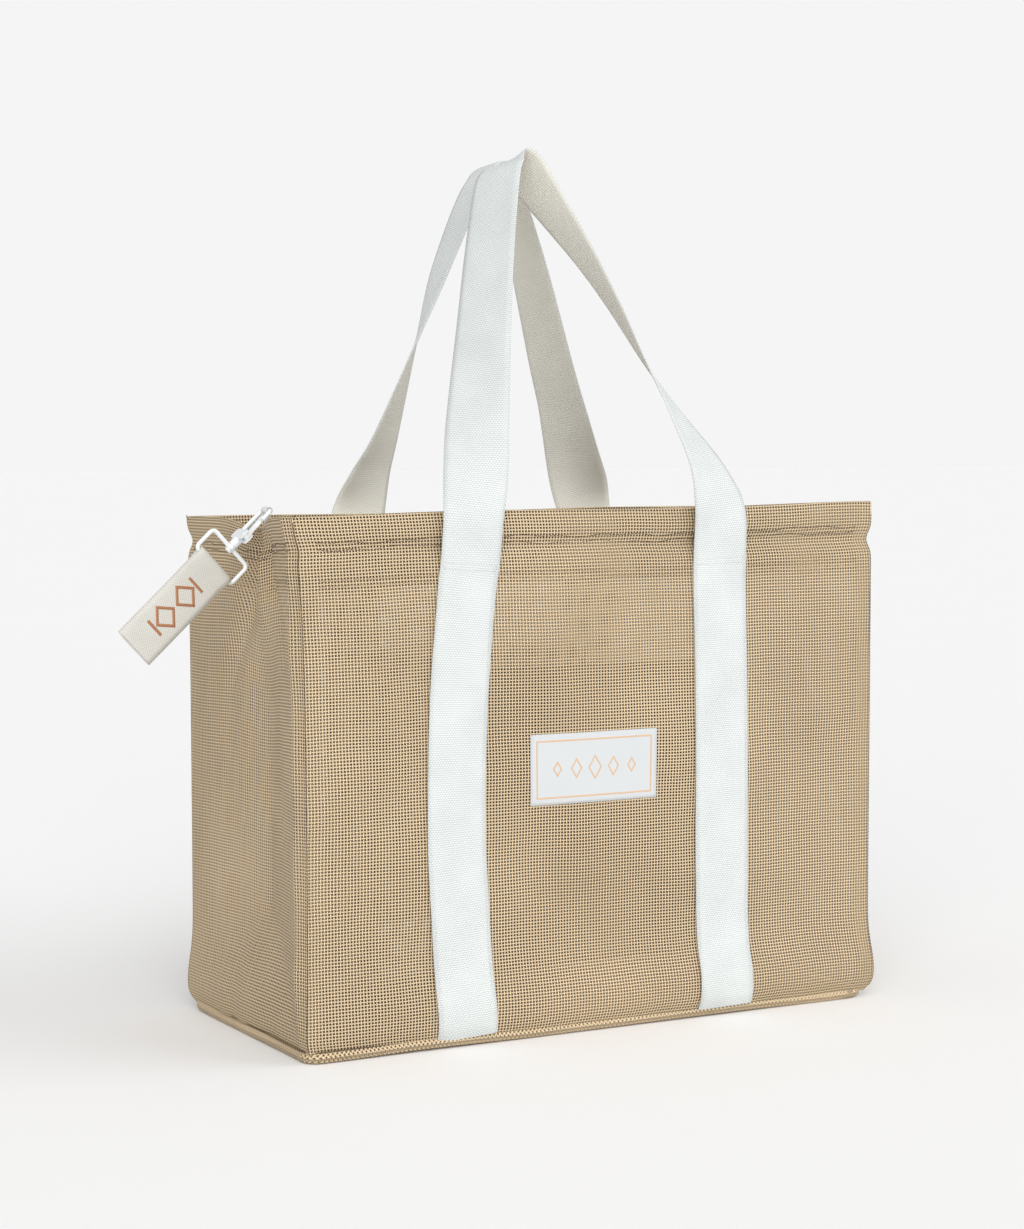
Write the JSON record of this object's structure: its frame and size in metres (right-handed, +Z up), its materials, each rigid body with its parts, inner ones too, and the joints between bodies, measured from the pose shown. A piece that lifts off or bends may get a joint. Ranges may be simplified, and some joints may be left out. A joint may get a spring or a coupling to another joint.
{
  "type": "mesh produce bag",
  "caption": "Large rectangular open-mesh tote with webbing handles, inside slip pockets, a sewn label and a webbing fob on a swivel snap hook.",
  "frame": {"origin": "centre of the base's underside", "axes": "+Z up, -Y out of the front wall that carries the label, -X towards the fob"},
  "size_m": [0.5572, 0.211, 0.6348],
  "materials": {
    "mesh": "open plain-weave coated mesh, beige",
    "mesh_trim": "doubled open mesh, beige, darker where it is doubled",
    "strap_webbing": "flat woven webbing, white",
    "label_cloth": "smooth woven patch, white with a fine printed frame",
    "tape": "narrow woven tape, off-white",
    "white_metal": "gloss white coated metal",
    "spring_steel": "bright spring steel",
    "fob_cloth": "fine warm-white webbing with copper embroidery"
  },
  "bodies": {
    "bag": {"base_panel": "mesh", "front_panel": "mesh", "back_panel": "mesh", "left_gusset": "mesh", "right_gusset": "mesh", "front_pocket": "mesh", "back_pocket": "mesh", "front_facing": "mesh_trim", "back_facing": "mesh_trim", "left_facing": "mesh_trim", "right_facing": "mesh_trim", "front_left_seam": "mesh_trim", "front_right_seam": "mesh_trim", "back_left_seam": "mesh_trim", "back_right_seam": "mesh_trim", "base_binding": "mesh_trim", "front_left_strap": "strap_webbing", "front_right_strap": "strap_webbing", "back_left_strap": "strap_webbing", "back_right_strap": "strap_webbing", "label": "label_cloth", "fob_tab": "tape"},
    "front_handle": {"front_handle": "strap_webbing"},
    "back_handle": {"back_handle": "strap_webbing"},
    "hook": {"hook_body": "white_metal", "gate_pin": "white_metal", "gate_spring": "spring_steel", "swivel_rivet": "white_metal"},
    "gate": {"hook_gate": "white_metal"},
    "ring": {"swivel_ring": "white_metal"},
    "fob_strap": {"fob_webbing": "fob_cloth"}
  },
  "joints": [
    {"name": "front_handle_swing", "type": "hinge", "parent": "bag", "child": "front_handle", "pos_m": [0, -0.1048, 0.336], "axis": [1, 0, 0], "range_deg": [0, 165]},
    {"name": "back_handle_swing", "type": "hinge", "parent": "bag", "child": "back_handle", "pos_m": [0, 0.1048, 0.336], "axis": [-1, 0, 0], "range_deg": [0, 165]},
    {"name": "fob_swing", "type": "hinge", "parent": "bag", "child": "hook", "pos_m": [-0.2129, 0, 0.3715], "axis": [0, 1, 0], "range_deg": [0, 180]},
    {"name": "gate_snap", "type": "hinge", "parent": "hook", "child": "gate", "pos_m": [-0.23192, -0.0075, 0.35377], "axis": [-0.682, 0, 0.7314], "range_deg": [0, 25], "stiffness_Nm_per_rad": 0.01, "springref_deg": -11.46, "deforming": ["gate_spring"]},
    {"name": "ring_swivel", "type": "hinge", "parent": "hook", "child": "ring", "pos_m": [-0.2129, 0, 0.3715], "axis": [-0.7314, 0, -0.682], "continuous": true},
    {"name": "strap_tilt", "type": "hinge", "parent": "ring", "child": "fob_strap", "pos_m": [-0.25364, 0, 0.33351], "axis": [0.682, 0, -0.7314], "range_deg": [-60, 60]}
  ]
}
